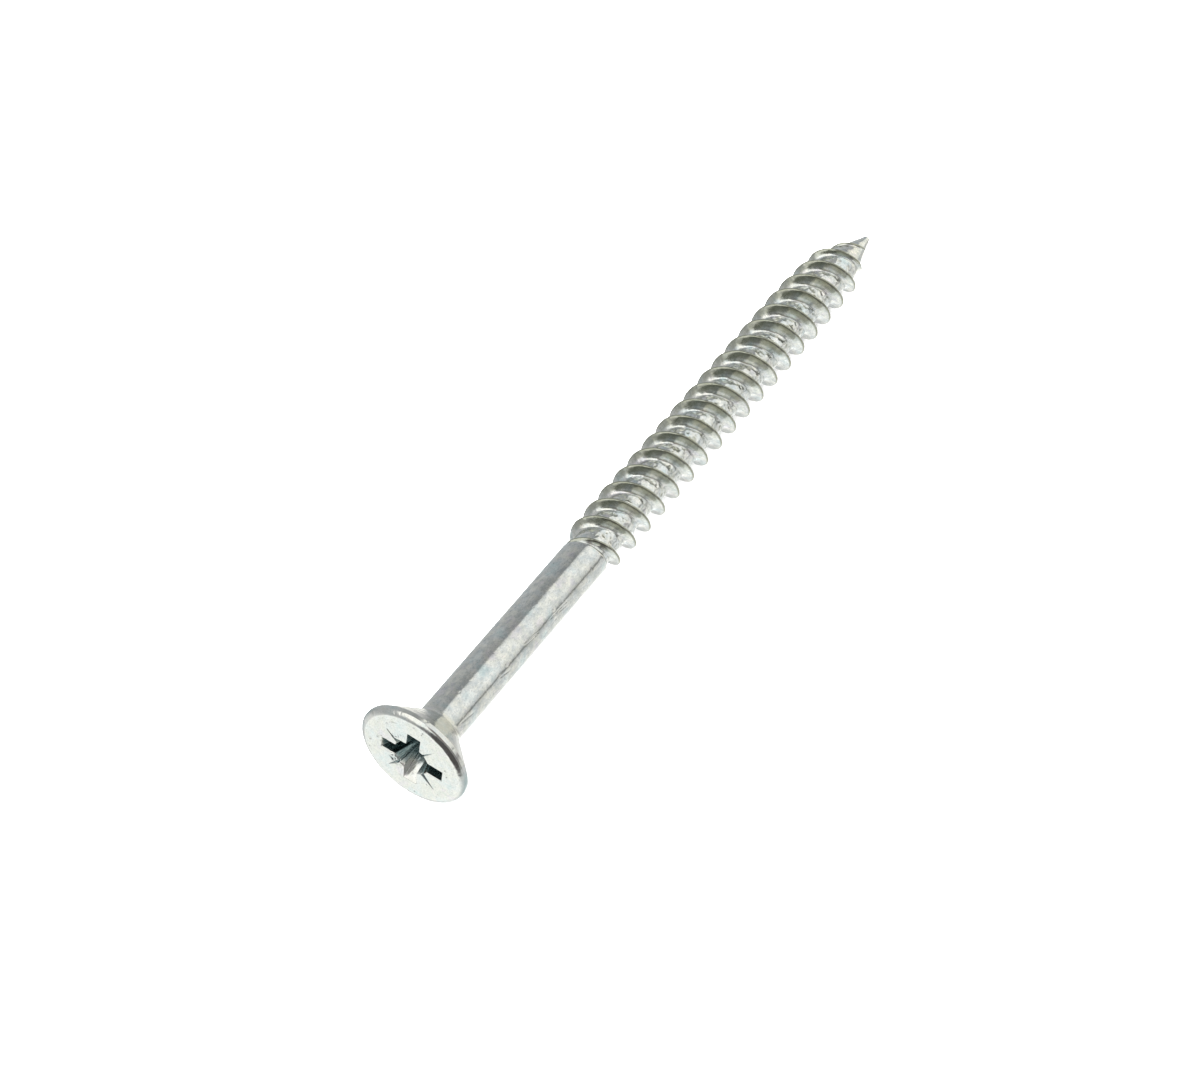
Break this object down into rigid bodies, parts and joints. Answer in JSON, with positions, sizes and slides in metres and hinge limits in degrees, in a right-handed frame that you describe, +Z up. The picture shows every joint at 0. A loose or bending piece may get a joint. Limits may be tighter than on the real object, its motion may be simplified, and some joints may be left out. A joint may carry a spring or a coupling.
{
  "type": "wood screw",
  "caption": "Countersunk wood screw with a cross recess, a plain shank, a coarse twin-start thread and a gimlet point; joins timber or fixings to timber.",
  "frame": {"origin": "centre of the flat head face, at the mouth of the drive recess", "axes": "+X along the screw's axis from the head face to the point, +Z up with the screw lying on its side, +Y to complete a right-handed frame"},
  "size_m": [0.07, 0.0098, 0.0098],
  "materials": {
    "zinc_head": "bright zinc plate, softly mottled",
    "zinc_shank": "bright zinc plate over drawn wire, fine grain",
    "zinc_thread": "bright zinc plate over rolled thread, pitted roots"
  },
  "bodies": {
    "root": {"head": "zinc_head", "shank": "zinc_shank", "thread_core": "zinc_thread", "thread_ridge_a": "zinc_thread", "thread_ridge_b": "zinc_thread", "gimlet_point": "zinc_thread"}
  },
  "joints": []
}
